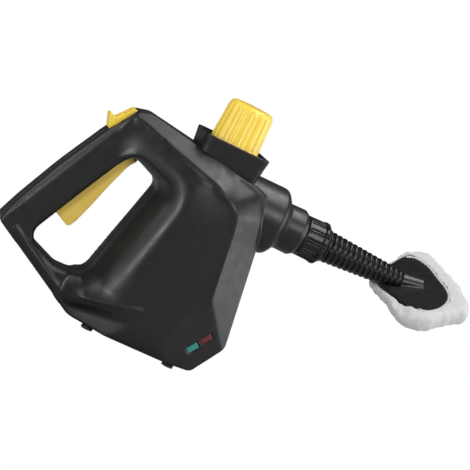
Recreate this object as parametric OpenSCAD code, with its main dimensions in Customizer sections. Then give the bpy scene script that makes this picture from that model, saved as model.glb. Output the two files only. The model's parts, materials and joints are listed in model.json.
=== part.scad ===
// Handheld wallpaper steamer standing on its four feet.
// +X points out of the nozzle, +Z is up, and Y = 0 is the plane of symmetry of the body.
// The design frame has X = 0 on the filler axis; the whole object is then centred over its own box.

/* [Body] */
// half width of the body at its widest
body_half_w = 58; // [50:1:62]
// half width of the rim where the cheeks meet the front and top face
cheek_edge_y = 33; // [30:1:36]
// half width of the handle loop
handle_half_w = 18; // [16:0.5:20]
// wall thickness of the two housing halves
wall = 2.6; // [2:0.1:3.2]
// backward lean of the front and of the flare behind the handle, in degrees
body_lean = 9.6; // [8:0.2:11]
// radius of the handle's rounded edges
grip_edge_r = 13; // [9:1:15]

/* [Filler] */
// length of the filler collar at its rim, front to back
collar_l = 71; // [66:1:73]
// width of the filler collar at its rim
collar_w = 60; // [58:1:62]
// height of the collar rim above the table
collar_top = 225; // [222:1:232]
// radius of the safety cap at its skirt
cap_r = 25.5; // [23:0.5:26.5]
// height of the cap above its skirt
cap_h = 54.5; // [46:0.5:58]
// number of grip flutes round the cap
cap_flutes = 18; // [12:1:24]
// lift of the cap per turn of its thread
cap_pitch = 4; // [3:0.5:5]

/* [Nozzle] */
// height of the nozzle axis above the table
nozzle_z = 171; // [169:0.5:173]
// radius of the front boss
boss_r = 35.5; // [34:0.5:36]
// radius of the neck in front of the boss
neck_r = 24; // [22:0.5:25]
// radius of the locking nut
nut_r = 21; // [20.5:0.5:22]
// number of ribs on the extension tube
tube_ribs = 14; // [10:1:16]
// radius over the first rib of the extension tube
tube_r_start = 16.4; // [16:0.2:18]
// radius over the last rib of the extension tube
tube_r_end = 10.9; // [10.6:0.1:12]
// distance between neighbouring ribs
rib_pitch = 6.1; // [5.5:0.1:6.5]

/* [Tool head] */
// half width of the head plate
head_half_w = 54; // [46:1:60]
// length of the head plate from its rear corner to its tip
head_l = 85; // [76:1:92]
// angle that the head is turned to about the tube
head_roll = 20; // [0:5:45]
// upward pitch of the head plate towards its front
head_pitch = 17; // [14:1:19]
// thickness of the cloth pad under the plate
cloth_t = 11; // [8:1:13]

/* [Controls] */
// reach of the trigger's free end below the grip
trigger_depth = 20; // [16:1:22]
// width of the trigger
trigger_w = 17; // [14:1:19]
// length of the lock slider
slider_l = 31; // [30:0.5:32]
// width of the lock slider
slider_w = 15; // [12:1:18]

/* [Hidden] */
$fn = 48;
fit_gap = 0.3;
big = 400;

// ---- outline helpers: corner lists are [x, z, radius], anticlockwise ----
function wrap(i, n) = (i % n + n) % n;
function unit(v) = v / norm(v);
function flat(c) = [c[0], c[1]];
function edge(c, i) = unit(flat(c[wrap(i + 1, len(c))]) - flat(c[i]));
function left(u) = [-u[1], u[0]];
function turn(u, v) = u[0] * v[1] - u[1] * v[0];
function inset_corner(c, i, d) =
  let (u = edge(c, wrap(i - 1, len(c))), v = edge(c, i), k = d / (1 + left(u) * left(v)))
  let (p = flat(c[i]) + (left(u) + left(v)) * k)
  [p[0], p[1], turn(u, v) > 0 ? max(c[i][2] - d, 0.5) : c[i][2] + d];
function inset(c, d) = [for (i = [0 : len(c) - 1]) inset_corner(c, i, d)];
function spin(v, a) = [v[0] * cos(a) - v[1] * sin(a), v[0] * sin(a) + v[1] * cos(a)];
function round_corner(c, i) =
  let (u = edge(c, wrap(i - 1, len(c))), v = edge(c, i), s = sign(turn(u, v)))
  let (a = acos(max(-1, min(1, u * v))), r = c[i][2], p = flat(c[i]) - u * r * tan(a / 2))
  let (m = p + left(u) * s * r, n = max(1, ceil(a / 13)))
  [for (k = [0 : n]) m + spin(p - m, s * a * k / n)];
function rounded(c) = [for (i = [0 : len(c) - 1]) each round_corner(c, i)];

// ---- the body's side outline, its loop hole and the line of the lower crease ----
base_z = 3.5;
back_low = [-181, 61];
strut_slope = 30.4;
grip_angle = 63.8;
outline = [[back_low[0], back_low[1], 5], [-80, base_z, 16], [54.5, base_z, 8], [77.4, 38.7, 10],
  [56.5, 195, 22], [-30, 208, 60], [-91, 217.4, 8], [-104.8, 213.2, 3],
  [-124, 182.5, 60], [-150, 135, 150], [-171.5, 86.5, 40]];
loop = [[-148.2, 58.1, 13], [-109.5, 42.4, 14], [-80.2, 42.4, 19], [-52.4, 157.5, 10], [-91.4, 173.5, 12]];

module side_prism(c, y0, y1) {
  translate([0, y1, 0])
    rotate([90, 0, 0])
      linear_extrude(y1 - y0)
        polygon(rounded(c));
}

// a prism that stands on the lean axis, with its plan given at the height lean_z
lean_z = 100;
module lean_prism(plan) {
  translate([0, 0, lean_z])
    rotate([0, -body_lean, 0])
      translate([0, 0, -big / 2])
        linear_extrude(big)
          polygon(plan);
}

// right-hand half of the plan: flare behind the handle, widest part, front chamfer and front face
chamfer_x = 31;
front_x = 66.2;
function flare(x, x0, x1, w0, w1) =
  let (t = max(0, min(1, (x - x0) / (x1 - x0)))) w0 + (w1 - w0) * t * t * (3 - 2 * t);
module body_plan_half(i) {
  xs = [for (k = [0 : 14]) -76 + k * 4];
  lean_prism(concat([[-88, 20], [-88, i - handle_half_w]],
    [for (x = xs) [x + i * 0.8, i - flare(x, -70, -24, handle_half_w, body_half_w)]],
    [[big, i - body_half_w], [big, 20]]));
}
module front_plan_half(i) {
  c = [[-big, 20, 0.5], [-big, -80, 0.5], [chamfer_x - (80 - body_half_w) * 1.408, -80, 0.5],
    [front_x, -cheek_edge_y, 0.5], [front_x + 2.5, 0, 0.5], [front_x + 2.5, 20, 0.5]];
  lean_prism([for (p = inset(c, i)) flat(p)]);
}

// the bottom edge of the body rolls under towards the feet
module belly_half(i) {
  rotate([90, 0, 90])
    translate([0, 0, -big / 2])
      linear_extrude(big)
        polygon([[20, base_z + i - 1], [-46 + i, base_z + i - 1], [-51 + i, 8 + i * 0.6], [-54.5 + i, 16],
          [-57 + i, 27], [-body_half_w + i, 44], [-big, 44], [-big, big], [20, big]]);
}

// rounded prism along the grip
module grip_half(i) {
  c = [[-195 + i, 20, 0.5], [-195 + i, -handle_half_w + i, max(grip_edge_r - i, 1)],
    [-157.8 - i, -handle_half_w + i, max(4 - i, 1)], [-157.8 - i, 20, 0.5]];
  rotate([0, 90 - grip_angle, 0])
    translate([0, 0, -34])
      linear_extrude(196)
        polygon(rounded(c));
}

// the strut below the loop: a narrow side face, the proud crease and the band that rolls under it
crease_t = 10.6;
crease_out = 2;
module strut_half(i) {
  w = handle_half_w - 0.5;
  translate([back_low[0], 0, back_low[1]])
    rotate([0, strut_slope, 0])
      rotate([0, 90, 0])
        union() {
          translate([0, 0, 14])
            linear_extrude(96)
              polygon([[0 - i, 20], [-i, -12 + i], [-2.5 - i * 0.6, -16.5 + i], [-6, -w - crease_out + i],
                [-crease_t + i, -w - crease_out + i], [-crease_t + i, 20]]);
          linear_extrude(112)
            polygon([[-5, 20], [-5, -w + i], [-28, -w + i], [-28, 20]]);
          translate([0, 0, 64])
            linear_extrude(80)
              polygon([[-5, 20], [-5, -w + i], [-52, -w + i], [-52, 20]]);
        }
}

// the wide base below the crease
module base_half(i) {
  xs = [for (k = [0 : 14]) -98 + k * 6];
  crease = [[-163, 63, 1], [-190, 66, 1], [-190, -5, 1], [90, -5, 1], [90, 52, 1], [-10, 52, 1],
    [-31, 43.5, 20], [-82, 24.8, 12], [-97, 27, 14]];
  intersection() {
    side_prism(inset(crease, i), -80, 20);
    translate([0, 0, -big / 2])
      linear_extrude(big)
        polygon(concat([[-110, 20]],
          [for (x = xs) [x + i, i - flare(x, -98, -14, handle_half_w + 1.5, body_half_w)]],
          [[big, i - body_half_w], [big, 20]]));
  }
}

// the roof chamfers: each is everything outside a plane through p with outward normal n
module outside_plane(p, n, i) {
  a = atan2(n[1], n[0]);
  b = acos(n[2] / norm(n));
  translate(p)
    rotate([0, 0, a])
      rotate([0, b, 0])
        translate([-big / 2, -big / 2, -i])
          cube([big, big, big / 2]);
}

// the shoulder that carries the roof chamfer back to the top of the grip
module shoulder_half(i) {
  difference() {
    translate([0, 0, 160])
      linear_extrude(80)
        polygon([[-104, 20], [-104, -handle_half_w + i], [-30, -45 + i], [-30, 20]]);
    outside_plane([-91, -handle_half_w, 166], [0.13, -0.93, -0.34], i);
  }
}

module half_form(i) {
  y1 = i > 0 ? 5 : 0;
  difference() {
    intersection() {
      side_prism(inset(outline, i), -80, y1);
      front_plan_half(i);
      belly_half(i);
      union() {
        grip_half(i);
        strut_half(i);
        body_plan_half(i);
        base_half(i);
        shoulder_half(i);
      }
    }
    side_prism(inset(loop, -i), -90, 90);
    outside_plane([-27.8, 6 - cheek_edge_y, 205], [-0.029, -0.617, 0.787], i);
    outside_plane([24.4, -cheek_edge_y, 194.8], [0.15, -0.61, 0.7785], i);
    outside_plane([50, -cheek_edge_y, 178.5], [0.485, -0.781, 0.393], i);
    outside_plane([-74.7, -28.6, 202], [-0.287, -0.933, 0.217], i);
    outside_plane([62.7, 16 - body_half_w, 48], [0.335, -0.929, -0.16], i);
  }
}

// ---- shared places ----
pivot = [-82, 177];
trigger_turn = 6.5;
arm = 15;
valve_z = pivot[1] + arm;
under_u = -158.5;
slide_angle = 56.6;
slide_foot = [-119.5, 184.6];
slider_travel = 5;
rear_foot = [-58, 30];
front_foot = [30, 38.5];
foot_r = 6;
neck_top = collar_top - 13;
cap_bottom = neck_top - 1;
shroud_x = 24;
boss_end = 68;
neck_x = 80;
nut_x = 103.3;
nut_l = 26.3;
nut_end = nut_x + nut_l;
tube_x = nut_x + 10.1;
spigot_end = tube_x - 2.4;
nozzle_seat = neck_x + 17;
rib_x = nut_end + 4.6;
tube_end = rib_x + tube_ribs * rib_pitch;
tube_bore = 7.7;
head_x = tube_end + 2;
lens_n = [0.335, -0.929, -0.16];
green_at = [43.9, -45.3, 28.2];
red_at = [52.8, -44.4, 41.5];
gland_at = [-92, 9.6];

// posts that join the halves, at [x, z]
posts = [[-162, 76], [-98.6, 191.2], [-72, 16], [53, 14], [50, 121], [-62, 170]];

// the head plate's rear corner, its widest line and its front, along the plate from head_x
head_s = 11.3;
head_b = head_l * 0.48;
head_a = head_l * 0.52;
plate_top = 1;
plate_low = plate_top - 6;
rear_a = atan2(head_b, -head_half_w);
rear_d = head_b * head_half_w / norm([head_b, head_half_w]);

// the whole object is centred over its own box
head_tip = head_x + (head_s + reach(0, pad_g(0))) * cos(head_pitch) + 13 * sin(head_pitch);
back_tip = -178.9;
shift_x = -(head_tip + back_tip) / 2;
module place() {
  translate([shift_x, 0, 0])
    children();
}

// places children at the grip frame: +Z along the grip, +X away from it towards the loop
module on_grip() {
  rotate([0, 90 - grip_angle, 0])
    children();
}
// places children on the slide: +X up the slide, +Z out of the grip
module on_slide() {
  translate([slide_foot[0], 0, slide_foot[1]])
    rotate([0, -slide_angle, 0])
      children();
}
// places children on the lower front facet with +Z out of it and +X up along the chin
module on_facet(p) {
  translate(p)
    rotate([0, 0, atan2(lens_n[1], lens_n[0])])
      rotate([0, acos(lens_n[2] / norm(lens_n)), 0])
        rotate([0, 0, 144.6])
          children();
}
module on_nozzle() {
  translate([0, 0, nozzle_z])
    rotate([0, 90, 0])
      children();
}
module on_head() {
  translate([head_x, 0, nozzle_z])
    rotate([head_roll, 0, 0])
      rotate([0, -head_pitch, 0])
        children();
}
module slab(c, z0, z1) {
  translate([0, 0, z0])
    linear_extrude(z1 - z0)
      polygon(rounded(c));
}
function box_corners(l, w, r) =
  [[-l / 2, -w / 2, r], [l / 2, -w / 2, r], [l / 2, w / 2, r], [-l / 2, w / 2, r]];

// one unbroken coil along +Z, as a six-sided tube of ten rings a turn
function coil_ring(k, r, wire, turns, h) =
  let (steps = ceil(turns * 10), a = 360 * turns * k / steps, z = h * k / steps)
  [for (j = [0 : 5]) let (d = r + wire * cos(60 * j)) [d * cos(a), d * sin(a), z + wire * sin(60 * j)]];
function coil_gap(r, wire, turns, h) =
  min([for (k = [6 : 14], p = coil_ring(0, r, wire, turns, h),
    q = coil_ring(k, r, wire, turns, h)) norm(p - q)]);
module coil(r, wire, turns, h) {
  n = ceil(turns * 10);
  echo("least gap between turns of a coil", r, coil_gap(r, wire, turns, h));
  points = [for (k = [0 : n]) each coil_ring(k, r, wire, turns, h)];
  sides = [for (k = [0 : n - 1], j = [0 : 5]) let (i = wrap(j + 1, 6)) [k * 6 + j, k * 6 + i,
    k * 6 + 6 + i, k * 6 + 6 + j]];
  halves = [for (q = sides) each [[q[0], q[1], q[2]], [q[0], q[2], q[3]]]];
  ends = [for (j = [1 : 4]) each [[0, j + 1, j], [n * 6, n * 6 + j, n * 6 + j + 1]]];
  polyhedron(points, [for (f = concat(halves, ends)) [f[0], f[2], f[1]]]);
}

// a round pipe through a list of points
module pipe(p, r) {
  for (i = [0 : len(p) - 2]) {
    d = p[i + 1] - p[i];
    translate(p[i])
      rotate([0, acos(d[2] / norm(d)), atan2(d[1], d[0])])
        cylinder(r = r, h = norm(d));
    if (i > 0)
      translate(p[i])
        sphere(r = r + 0.12);
  }
}

// ---- housing ----
trigger_slot = [[19.5, -163, 1], [19.5, -152, 1], [60, -152, 1], [104, -146, 1], [121, -141, 1],
  [121, -163, 1]];
module trigger_opening() {
  on_grip()
    translate([0, trigger_w / 2 + 0.6, 0])
      rotate([90, 0, 0])
        linear_extrude(trigger_w + 1.2)
          polygon([for (c = trigger_slot) [c[1], c[0]]]);
}
module collar_plug(g) {
  slab(box_corners(60 + 2 * g, 50 + 2 * g, 9 + g), 188 - g, 212);
}
module slider_pocket() {
  on_slide()
    translate([0, slider_w / 2 + 0.4, 0])
      rotate([90, 0, 0])
        linear_extrude(slider_w + 0.8)
          polygon([[-1, 0], [50, 0], [50, 20], [-12, 20], [-5.8, 1.7], [-1, 1.7]]);
}
module lens_hole(p) {
  on_facet(p)
    translate([-6.3, -3.8, -8])
      cube([12.6, 7.6, 20]);
}
module half_shell() {
  difference() {
    union() {
      difference() {
        half_form(0);
        half_form(wall);
      }
      intersection() {
        half_form(1.2);
        union() {
          on_slide()
            translate([-8, -12, -3])
              cube([60, 12, 8]);
          translate([pivot[0], -trigger_w / 2 - 0.9, pivot[1]])
            rotate([90, 0, 0])
              cylinder(r = 3.6, h = 60);
          for (p = posts)
            translate([p[0], 0, p[1]])
              rotate([90, 0, 0])
                cylinder(r = 4.6, h = 90);
        }
      }
    }
    trigger_opening();
    slider_pocket();
    on_slide()
      translate([6, -3, -6])
        cube([15, 6, 8]);
    collar_plug(fit_gap);
    translate([shroud_x - fit_gap, 0, 0])
      on_nozzle()
        cylinder(r = boss_r + fit_gap, h = 90);
    translate([pivot[0], -5, pivot[1]])
      rotate([90, 0, 0])
        cylinder(r = 1.5, h = 9);
    translate([gland_at[0], 0, gland_at[1]])
      rotate([0, 180 + strut_slope, 0])
        translate([0, 0, -12])
          cylinder(r = 6, h = 20);
    for (f = [rear_foot, front_foot])
      translate([f[0], -f[1], 0])
        cylinder(r = 3.1, h = 12);
  }
}
module housing_right() {
  color([0.12, 0.12, 0.13])
    place()
      difference() {
        half_shell();
        for (p = posts)
          translate([p[0], 1, p[1]])
            rotate([90, 0, 0])
              cylinder(r = 1.55, h = 12);
        lens_hole(green_at);
        lens_hole(red_at);
      }
}
module housing_left() {
  color([0.12, 0.12, 0.13])
    place()
      mirror([0, 1, 0])
        difference() {
          half_shell();
          for (p = posts)
            translate([p[0], 1, p[1]])
              rotate([90, 0, 0])
                union() {
                  cylinder(r = 1.8, h = 20);
                  translate([0, 0, 8])
                    cylinder(r = 3.4, h = 60);
                }
        }
}
module housing_screws() {
  color([0.6, 0.6, 0.62])
    place()
      for (p = posts)
        translate([p[0], 7, p[1]])
          rotate([90, 0, 0])
            difference() {
              union() {
                cylinder(r = 1.5, h = 17.5);
                translate([0, 0, -2.2])
                  cylinder(r = 3.1, h = 2.2);
              }
              translate([0, 0, -3])
                cylinder(r = 1.4, h = 2, $fn = 6);
            }
}
module feet() {
  color([0.06, 0.06, 0.06])
    place()
      for (f = [rear_foot, front_foot], s = [-1, 1])
        translate([f[0], s * f[1], 0])
          union() {
            cylinder(r = foot_r, h = base_z - 1);
            translate([0, 0, base_z - 1])
              cylinder(r = 3, h = 6);
          }
}
module cord_gland() {
  color([0.05, 0.05, 0.05])
    place()
      translate([gland_at[0], 0, gland_at[1]])
        rotate([0, 180 + strut_slope, 0])
          difference() {
            union() {
              translate([0, 0, -8])
                cylinder(r = 5.8, h = 8.4);
              translate([0, 0, -8])
                cylinder(r = 8, h = 4.6);
            }
            translate([0, 0, -9])
              cylinder(r = 3.6, h = 12);
          }
}

// ---- front shroud: boss, domed shoulder, neck and outlet spigot ----
module front_shroud() {
  color([0.13, 0.13, 0.14])
    place()
      on_nozzle()
        rotate_extrude($fn = 96)
          polygon(concat(
            [[12, spigot_end], [12, nozzle_seat], [boss_r - 14.5, nozzle_seat],
              [boss_r - 14.5, neck_x - 1], [boss_r - 5, boss_end - 2],
              [boss_r - 2.6, boss_end - 6], [boss_r - 2.6, shroud_x], [boss_r, shroud_x]],
            [for (k = [0 : 4]) [boss_r - 6 * (1 - cos(15 * k)), boss_end + 7 * sin(15 * k)]],
            [[neck_r, neck_x + 0.3], [neck_r + 0.4, nut_x - 5.8], [21, nut_x - 0.4], [17, nut_x - 0.4],
              [17, spigot_end]]));
}

// ---- filler collar: tapered rim above the roof, plug and floor below it ----
collar_floor = 193;
collar_back = -1.2;
module roof_cut() {
  side_prism([[-120, 100, 1], [90, 100, 1], [90, outline[4][1] - 33.5 * 0.1503 + fit_gap, 1],
    [-120, outline[5][1] + 90 * 0.1503 + fit_gap, 1]], -60, 60);
}
module filler_collar() {
  color([0.13, 0.13, 0.14])
    place()
      difference() {
        union() {
          difference() {
            hull() {
              translate([collar_back, 0, 0])
                slab(box_corners(collar_l - 7, collar_w - 10, 8), 195, 195.4);
              translate([collar_back, 0, 0])
                slab(box_corners(collar_l, collar_w, 10), collar_top - 0.4, collar_top);
            }
            roof_cut();
          }
          slab(box_corners(60, 50, 9), collar_floor - 2.5, 208);
        }
        hull() {
          translate([collar_back, 0, 0])
            slab(box_corners(collar_l - 12, collar_w - 12, 6), collar_floor + 10, collar_floor + 10.4);
          translate([collar_back, 0, 0])
            slab(box_corners(collar_l - 4.4, collar_w - 4.4, 8), collar_top, collar_top + 1);
        }
        slab(box_corners(54, 44, 6), collar_floor, 212);
        cylinder(r = 17.3, h = 220);
        translate([shroud_x - fit_gap, 0, 0])
          on_nozzle()
            cylinder(r = boss_r + fit_gap, h = 90);
      }
}

// ---- safety cap: a fluted shell that turns the threaded core only when it is pushed down ----
core_top = neck_top + 26;
module cap_shell() {
  color([0.96, 0.82, 0.2])
    place()
      difference() {
        rotate_extrude($fn = 96)
          polygon([[cap_r - 7, cap_bottom], [cap_r - 2.4, cap_bottom], [cap_r - 0.6, cap_bottom + 8],
            [cap_r, cap_bottom + 11], [cap_r - 1.9, cap_bottom + cap_h - 6.5],
            [cap_r - 2.7, cap_bottom + cap_h - 3.4], [cap_r - 4.6, cap_bottom + cap_h - 1],
            [cap_r - 7.6, cap_bottom + cap_h], [0, cap_bottom + cap_h],
            [0, cap_bottom + cap_h - 3], [cap_r - 8, cap_bottom + cap_h - 3],
              [cap_r - 6.4, cap_bottom + cap_h - 8],
            [cap_r - 5, cap_bottom + 2.6], [cap_r - 7, cap_bottom + 2.6]]);
        for (k = [0 : cap_flutes - 1])
          rotate([0, 0, 360 * k / cap_flutes])
            translate([cap_r + 1.3, 0, cap_bottom + 13])
              rotate([0, -2.9, 0])
                cylinder(r = 2.8, h = cap_h);
      }
}
module cap_core() {
  color([0.1, 0.1, 0.1])
    place()
      union() {
        translate([0, 0, neck_top - 17])
          cylinder(r = 13.6, h = 19.4);
        translate([0, 0, neck_top + 2.4])
          cylinder(r = cap_r - 6, h = 4);
        translate([0, 0, neck_top + 6])
          cylinder(r = 8, h = core_top - neck_top - 6);
        for (k = [0 : 3])
          rotate([0, 0, 90 * k])
            translate([13.5, -1.5, neck_top + 6])
              cube([3.5, 3, 5]);
      }
}
spring_foot = neck_top + 6.4 + 0.9;
spring_h = cap_bottom + cap_h - 3 - spring_foot - 0.9;
module cap_spring() {
  color([0.7, 0.7, 0.72])
    place()
      translate([0, 0, spring_foot])
        coil(10.4, 0.9, 7, spring_h);
}
module cap_washer() {
  color([0.05, 0.05, 0.05])
    place()
      difference() {
        translate([0, 0, neck_top + 0.1])
          cylinder(r = 17.6, h = 2);
        cylinder(r = 13.9, h = 400);
      }
}
module filler_neck() {
  color([0.62, 0.62, 0.64])
    place()
      difference() {
        union() {
          translate([0, 0, 116])
            cylinder(r = 17, h = neck_top - 116);
          translate([0, 0, 124.4])
            cylinder(r = 22, h = 3);
        }
        translate([0, 0, 100])
          cylinder(r = 14, h = 200);
      }
}

// ---- controls on the handle ----
module lock_slider() {
  color([0.96, 0.82, 0.2])
    place()
      on_slide()
        union() {
          difference() {
            translate([0, slider_w / 2, 0])
              rotate([90, 0, 0])
                linear_extrude(slider_w)
                  polygon([[5.3, 0.3], [slider_l - 2.2, 0.3], [slider_l, 1.2], [slider_l + 0.9, 3],
                    [slider_l + 0.3, 4.8],
                    [slider_l - 1.4, 5.9], [12.2, 7.6], [10.4, 8.6], [9.6, 10.4], [9.8, 13], [9.4, 14.2],
                      [8.2, 15],
                    [7.1, 14.7], [-0.6, 3.8], [-0.4, 2.1], [5.3, 2.1]]);
            for (k = [0 : 4])
              translate([15 + 3 * k, -slider_w / 2 + 2, 6.6 - 0.09 * k])
                rotate([-90, 0, 0])
                  cylinder(r = 0.8, h = slider_w - 4);
          }
          translate([12, -2.6, -3.4])
            cube([8, 5.2, 5]);
          translate([12, -5, -5.4])
            cube([8, 10, 2]);
        }
}
module trigger() {
  color([0.85, 0.74, 0.35])
    place()
      difference() {
        union() {
          on_grip()
            translate([0, trigger_w / 2, 0])
              rotate([90, 0, 0])
                linear_extrude(trigger_w)
                  polygon(rounded([[-165, 21.6, 1], [-161, 21.6, 1],
                    [under_u + trigger_depth - 0.4, 21.6, 4],
                    [under_u + trigger_depth, 31, 5], [-141.2, 51, 60], [-146.4, 80, 60], [-149.8, 107, 30],
                    [-147, 116.5, 8], [-147, 124, 4], [-156, 124, 3], [-157.5, 112, 10],
                      [-162.5, 100, 10], [-165, 70, 50]]));
          on_grip()
            translate([-165, -trigger_w / 2, 15.5])
              cube([2.6, trigger_w, 8]);
          translate([pivot[0], 4.5, pivot[1]])
            rotate([90, 0, 0])
              cylinder(r = 5, h = 9);
          translate([pivot[0] - 3, -3, pivot[1]])
            cube([6, 6, arm]);
          translate([pivot[0], 3, pivot[1] + arm])
            rotate([90, 0, 0])
              cylinder(r = 4, h = 6);
        }
        translate([pivot[0], 40, pivot[1]])
          rotate([90, 0, 0])
            cylinder(r = 1.55, h = 80);
        translate([pivot[0], 10, pivot[1]])
          rotate([90, 0, 0])
            difference() {
              cylinder(r = 9, h = 20);
              translate([0, 0, 5.5])
                cylinder(r = 10, h = 9);
            }
      }
}
module trigger_pin() {
  color([0.6, 0.6, 0.62])
    place()
      translate([pivot[0], 13.5, pivot[1]])
        rotate([90, 0, 0])
          cylinder(r = 1.47, h = 27);
}
module trigger_spring() {
  color([0.7, 0.7, 0.72])
    place()
      translate([pivot[0], -5.9, pivot[1]])
        rotate([90, 0, 0])
          coil(2.3, 0.3, 2.2, 2.6);
}

// ---- steam valve behind the roof ----
valve_x = -60;
// the valve spring stands clear of the pressed plunger
valve_spring_h = valve_x + 21 - pivot[0] - 4.1 - 28 - arm * sin(trigger_turn) - 0.75;
module valve_body() {
  color([0.78, 0.62, 0.3])
    place()
      difference() {
        union() {
          translate([valve_x, 0, valve_z])
            rotate([0, 90, 0])
              cylinder(r = 8, h = 24);
          translate([-46, 0, valve_z - 12])
            cylinder(r = 5.5, h = 10);
          translate([-42, 0, valve_z])
            rotate([-90, 0, 0])
              cylinder(r = 4.5, h = 14);
        }
        translate([valve_x - 1, 0, valve_z])
          rotate([0, 90, 0])
            cylinder(r = 3.05, h = 10);
        translate([valve_x + 6, 0, valve_z])
          rotate([0, 90, 0])
            cylinder(r = 5.6, h = 15);
        translate([-46, 0, valve_z - 13])
          cylinder(r = 3.8, h = 8);
        translate([-42, 0, valve_z])
          rotate([-90, 0, 0])
            cylinder(r = 2, h = 20);
      }
}
module valve_plunger() {
  color([0.6, 0.6, 0.62])
    place()
      translate([pivot[0] + 4.1, 0, valve_z])
        rotate([0, 90, 0])
          union() {
            cylinder(r = 3, h = 26);
            translate([0, 0, 25])
              cylinder(r = 5, h = 3);
          }
}
module valve_spring() {
  color([0.7, 0.7, 0.72])
    place()
      translate([valve_x + 21 - valve_spring_h, 0, valve_z])
        rotate([0, 90, 0])
          coil(4.3, 0.45, 4, valve_spring_h - 0.5);
}

// ---- boiler and heater ----
module boiler_lower() {
  color([0.66, 0.66, 0.68])
    place()
      rotate_extrude($fn = 96)
        polygon([[0, 24], [36, 24], [39.5, 25.5], [41, 29], [41, 74], [50, 74], [50, 78], [38, 78],
          [38, 30],
          [36, 27], [0, 27]]);
}
module boiler_upper() {
  color([0.66, 0.66, 0.68])
    place()
      difference() {
        rotate_extrude($fn = 96)
          polygon([[50, 79.6], [50, 83.6], [41, 83.6], [41, 104], [38, 113], [31, 120], [21, 124], [0, 124],
            [0, 121], [20, 121], [29.5, 117.3], [35.5, 111], [38, 104], [38, 79.6]]);
        translate([0, 0, 110])
          cylinder(r = 17.05, h = 30);
        translate([-28, 0, 110])
          cylinder(r = 3.55, h = 30);
        bolt_ring(2.2);
      }
}
module bolt_ring(r) {
  for (k = [0 : 5])
    rotate([0, 0, 60 * k + 30])
      translate([45.6, 0, 70])
        cylinder(r = r, h = 20);
}
module boiler_gasket() {
  color([0.55, 0.15, 0.1])
    place()
      difference() {
        translate([0, 0, 78])
          cylinder(r = 49.5, h = 1.6);
        cylinder(r = 38.3, h = 200);
        bolt_ring(2.2);
      }
}
module boiler_bolts() {
  color([0.6, 0.6, 0.62])
    place()
      for (k = [0 : 5])
        rotate([0, 0, 60 * k + 30])
          translate([45.6, 0, 0])
            union() {
              translate([0, 0, 83.6])
                cylinder(r = 3.7, h = 3, $fn = 6);
              translate([0, 0, 78])
                cylinder(r = 2, h = 6);
            }
}
module boiler_cradle() {
  color([0.25, 0.25, 0.26])
    place()
      difference() {
        translate([0, 0, base_z + wall])
          cylinder(r = 40, h = 23.5 - base_z - wall + 0.5);
        cylinder(r = 36, h = 60);
        for (a = [0, 90, 180, 270])
          rotate([0, 0, a])
            translate([30, -14, 5])
              cube([20, 28, 13]);
      }
}
module heating_element() {
  color([0.45, 0.4, 0.38])
    place()
      translate([0, 0, 19.8])
        union() {
          rotate([0, 0, -162])
            rotate_extrude(angle = 324)
              translate([28, 0])
                circle(r = 4);
          for (s = [-1, 1])
            translate([-28 * cos(26), s * 28 * sin(26), -12])
              cylinder(r = 1.4, h = 12);
        }
}
module thermostat() {
  color([0.85, 0.83, 0.78])
    place()
      union() {
        translate([0, 0, 16.8])
          cylinder(r = 9, h = 7.2);
        for (s = [-1, 1])
          translate([s * 5, -1, 11])
            cube([1.6, 4, 7]);
      }
}
module thermal_fuse() {
  color([0.85, 0.83, 0.78])
    place()
      translate([-45, -6, 50])
        cube([4, 12, 10]);
}
module terminal_block() {
  color([0.88, 0.86, 0.8])
    place()
      difference() {
        translate([-63, -14, base_z + wall])
          cube([13.5, 28, 15]);
        for (y = [-9, 0, 9])
          translate([-56, y, 15])
            cylinder(r = 2.4, h = 12);
      }
}
module steam_riser() {
  color([0.75, 0.6, 0.35])
    place()
      union() {
        pipe([[-28, 0, 114], [-28, 0, 150], [-46, 0, 170], [-46, 0, valve_z - 5.2]], 3.5);
        translate([-28, 0, 124])
          cylinder(r = 5.5, h = 3);
      }
}
module steam_hose() {
  color([0.2, 0.2, 0.2])
    place()
      pipe([[-42, 16.1, valve_z], [-38, 25, 186], [-8, 27, 180], [20, 18, 174], [40, 0, nozzle_z],
        [62, 0, nozzle_z]], 3.2);
}
module outlet_nozzle() {
  color([0.78, 0.62, 0.3])
    place()
      on_nozzle()
        difference() {
          union() {
            translate([0, 0, 58])
              cylinder(r = 6, h = spigot_end - 61);
            translate([0, 0, nozzle_seat - 5])
              cylinder(r = 18, h = 4.8);
          }
          translate([0, 0, 50])
            cylinder(r = 3.3, h = 14);
          translate([0, 0, 50])
            cylinder(r = 2, h = 80);
        }
}
module outlet_seal() {
  color([0.5, 0.12, 0.1])
    place()
      on_nozzle()
        difference() {
          translate([0, 0, spigot_end])
            cylinder(r = 16.5, h = 2.1);
          translate([0, 0, 100])
            cylinder(r = 9, h = 20);
        }
}

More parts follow.
